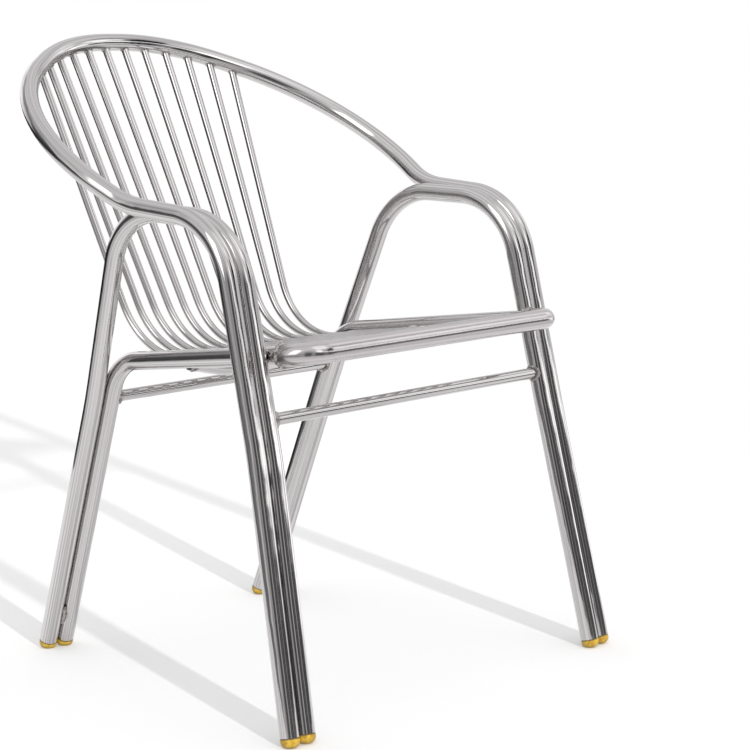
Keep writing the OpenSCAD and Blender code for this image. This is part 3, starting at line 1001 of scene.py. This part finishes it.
turned_sheet = Matrix.Translation(PAPER_CENTRE) @ Matrix.Rotation(PAPER_TURN, 4, "Z")
sheet = turned_sheet @ Matrix.Diagonal((*PAPER_REACH, 1))
floor_bm = bmesh.new()
bmesh.ops.create_circle(floor_bm, cap_ends=True, segments=96, radius=1.0, matrix=sheet)
floor_mesh = bpy.data.meshes.new("floor")
floor_bm.to_mesh(floor_mesh)
floor_bm.free()
floor = bpy.data.objects.new("floor", floor_mesh)
bpy.context.collection.objects.link(floor)
print("the paper is %.1f by %.1f m" % (2 * PAPER_REACH.x, 2 * PAPER_REACH.y))

# %% Which rays see the paper as the background
RIM_FROM = 0.72
RIM_FULL = 0.97

paper, shop = new_material("white paper")
rays = shop.node("ShaderNodeLightPath")
seen = shop.wire(rays, "Is Camera Ray")
seen = seen.maths("MAXIMUM", seen, shop.wire(rays, "Is Glossy Ray"))
seen = seen.maths("MAXIMUM", seen, shop.wire(rays, "Is Transmission Ray"))
flat = shop.node("ShaderNodeMapping", {"vector_type": "TEXTURE"}, {
    0: shop.wire(shop.node("ShaderNodeTexCoord"), "Object"),
    1: PAPER_CENTRE, 2: (0, 0, PAPER_TURN), 3: PAPER_REACH})
off_centre = shop.node("ShaderNodeVectorMath", {"operation": "LENGTH"}, {0: shop.wire(flat)})
rim = shop.between(shop.wire(off_centre, "Value"), RIM_FROM, RIM_FULL) * seen
print("the rim begins at %g of the way out" % RIM_FROM)

# %% White paper
PAPER_WHITE = (0.96, 0.96, 0.96, 1)
GLOW = 0.1

lit = shop.node("ShaderNodeBsdfDiffuse", None, {"Color": PAPER_WHITE})
glow = shop.node("ShaderNodeEmission", None, {"Color": (1, 1, 1, 1), "Strength": seen * GLOW})
white = shop.node("ShaderNodeEmission", None, {"Color": (1, 1, 1, 1), "Strength": 1.0})
both_lit = shop.node("ShaderNodeAddShader", None, {0: shop.wire(lit), 1: shop.wire(glow)})
surface = shop.node("ShaderNodeMixShader", None, {0: rim, 1: shop.wire(both_lit), 2: shop.wire(white)})
shop.node("ShaderNodeOutputMaterial", None, {0: shop.wire(surface)})
floor_mesh.materials.append(paper)
print("%s: %d shader nodes" % (paper.name, len(shop.tree.nodes)))

# %% [markdown]
# ## The studio round it
# Polished steel has no look of its own: it shows the room. The room could be built of panels, but they
# would stand in the way of other views. So it is drawn on the world, by direction, and only
# reflections see it. A direction is a compass angle, 225 degrees towards the camera and 45 behind the
# chair, and a height over the horizon, also in degrees.

# %% Directions
world = bpy.data.worlds.new("studio")
bpy.context.scene.world = world
shop = Shop(world)
way = shop.wire(shop.node("ShaderNodeTexCoord"), "Generated")
split = shop.node("ShaderNodeSeparateXYZ", None, {0: way})
east, north, up = (shop.wire(split, k) for k in range(3))
turn = east.maths("ARCTAN2", north, east) * (180 / pi)
turn = turn + (turn.maths("LESS_THAN", turn, 0.0) * 360)
height = up.maths("ARCSINE", up) * (180 / pi)


def compass(turn, up):
    """Unit vector by its compass angle and its height over the horizon, in degrees."""
    flat = cos(radians(up))
    return Vector((cos(radians(turn)) * flat, sin(radians(turn)) * flat, sin(radians(up))))


print("the camera's side is", [round(v, 2) for v in compass(225, 0)])

# %% Shapes drawn on the directions


def patch(turn, up, reach, soft):
    """A round patch of the room: 1 inside reach degrees of its middle, 0 outside, with a soft rim."""
    near = shop.node("ShaderNodeVectorMath", {"operation": "DOT_PRODUCT"}, {0: way, 1: compass(turn, up)})
    return shop.between(shop.wire(near, "Value"), cos(radians(reach + soft)), cos(radians(reach)))


def band(value, low, high, soft):
    """1 between low and high."""
    return shop.between(value, low - soft, low + soft) * (1 - shop.between(value, high - soft, high + soft))


def bars(angle, per_degree, low, high):
    """Upright bars of uneven width."""
    made = shop.node("ShaderNodeTexNoise", {"noise_dimensions": "1D"},
                     {"W": angle, "Scale": per_degree, "Detail": 1.0, "Roughness": 0.5})
    return shop.between(shop.wire(made), low, high)


print("room shapes: patch, band and bars")

# %% [markdown]
# Behind the chair hangs the pale backdrop, a little uneven, as cloth is. A few black screens stand in
# front of it, as a photographer sets them, so that the tubes get dark edges against the white page.

# %% Backdrop and black screens
folds = bars(turn, 0.11, 0.47, 0.6)
room = 0.90 - folds * 0.14 * band(height, -35, 40, 10)
room = room + patch(70, 11, 14, 8) * 0.4
room = room - band(turn, 95, 135, 8) * band(height, 2, 45, 8) * 0.2

screen_middle = 118 - shop.between(height, 12, 38) * 34
screen_black = 0.86 - shop.between(height, 8, 28) * 0.42
screen = band(turn - screen_middle, -15, 15, 2) * band(height, -3, 40, 2) * screen_black
low_screen = band(turn, 60, 122, 3) * band(height, -9.5, 1, 1.5) * 0.9
side_screen = band(turn, 100, 148, 3) * band(height, -3, 9, 1.5) * 0.88
low_screens = low_screen.maths("MAXIMUM", low_screen, side_screen)
room = room * (1 - screen.maths("MAXIMUM", screen, low_screens))
print("backdrop and screens: %d world nodes" % len(shop.tree.nodes))

# %% [markdown]
# To the left of the backdrop a slanting white panel gives the rods their bright lines. Low down, the
# floor past the paper is dark.

# %% Slanting panel and dark floor
slant = turn - height * 0.3
room = room + band(slant, 157, 184, 3) * band(height, 10, 46, 3) * 2.0
room = room - band(turn, 0, 75, 6) * band(height, -9, -3, 1.5) * 0.4
past_paper = band(turn, 72, 202, 5) * band(height, -13, -1, 2)
room = room * (1 - past_paper * 0.74)
room = room - band(turn, 165, 205, 6) * band(height, 2, 18, 3) * 0.38
print("panel and floor: %d world nodes" % len(shop.tree.nodes))

# %% [markdown]
# Behind the camera the room is dark near the horizon, with a few upright strips of light. It is those
# strips that run down the front legs as threads.

# %% Dark room with strips of light
dark = band(turn, 202, 308, 4) * shop.between(height, -18, -14) * (1 - shop.between(height, 13, 33) * 0.72)
dark = dark * (1 - shop.between(height, 33, 50))
dark = dark.maths("MAXIMUM", dark, band(turn, 300, 332, 4) * band(height, -8, 6, 2))
lights = bars(turn, 0.28, 0.42, 0.6) * 0.13 + 0.04
for middle, half, bright in ((209, 5.5, 0.42), (242, 5, 0.38), (262, 1.5, 0.15), (281, 5, 0.2)):
    lights = lights + band(turn, middle - half, middle + half, 2) * bright
room = room * (1 - dark) + lights * dark
print("dark room: %d world nodes" % len(shop.tree.nodes))

# %% [markdown]
# A tall light stands to the camera's right and leans over towards it. It draws the white lines down
# the tubes. Soft round patches, some bright and some dark, break up what the arms show of the ceiling.

# %% Leaning light and soft patches
light_middle = 355 - shop.between(height, -6, 22) * 95
tall_light = band(turn - light_middle, -10, 11, 3) * shop.between(height, -11, -7)
tall_light = tall_light * (1 - shop.between(height, 18, 50) * 0.85)
room = room + tall_light * (0.9 + shop.between(height, 2, 10) * 0.8)
for middle, high, reach, soft, bright in (
    (303, 27, 9, 4, -0.6),
    (283, 62, 13, 8, 0.45),
    (355, 21, 10, 5, 0.4),
    (331, 35, 5, 4, -0.45),
    (350, 38, 10, 8, 0.3),
    (291, 42, 9, 6, 0.35),
    (325, 23, 6, 6, 0.7),
):
    room = room + patch(middle, high, reach, soft) * bright
print("the whole room: %d world nodes" % len(shop.tree.nodes))

# %% [markdown]
# The camera itself sees plain white, at a strength of 1. Mirrors see the room, which is never quite
# black, and everything else is lit by an even sky.

# %% What each ray sees
SKY = 0.80
DARKEST = 0.02

rays = shop.node("ShaderNodeLightPath")
camera_ray = shop.wire(rays, "Is Camera Ray")
glossy_ray = shop.wire(rays, "Is Glossy Ray")
mirrored = glossy_ray.maths("MAXIMUM", glossy_ray, shop.wire(rays, "Is Transmission Ray"))
plain = 1 - camera_ray - mirrored
strength = camera_ray + mirrored * room.maths("MAXIMUM", room, DARKEST) + plain * SKY
light = shop.node("ShaderNodeBackground", None, {0: (1, 1, 1, 1), 1: strength})
shop.node("ShaderNodeOutputWorld", None, {0: shop.wire(light)})
print("sky strength %g" % SKY)

# %% [markdown]
# ## The sun
# A low, weak lamp to the right of the camera draws long pale shadows over the paper. It is a sun and
# not a lamp near the chair, because a sun's shadows run side by side, as those in the photograph
# nearly do. The steel doesn't show it, as in a studio such a lamp sits behind a wide cloth.

# %% Sun
SUN_TURN = 252
SUN_UP = 14
SUN_STRENGTH = 2.6
SUN_WIDTH = radians(1.5)
SUN_AWAY = 3

sun = bpy.data.lights.new("sun", "SUN")
sun.energy = SUN_STRENGTH
sun.angle = SUN_WIDTH
sun_object = bpy.data.objects.new("sun", sun)
bpy.context.collection.objects.link(sun_object)
sun_way = compass(SUN_TURN, SUN_UP)
sun_object.matrix_world = facing(sun_way * SUN_AWAY, sun_way)
sun_object.visible_glossy = False
print("shadows are %.1f times as long as what throws them" % (1 / tan(radians(SUN_UP))))

# %% [markdown]
# ## The picture
# The Standard view keeps each colour as it was written, where other views would soften the white page.

# %% View
bpy.context.scene.view_settings.view_transform = "Standard"
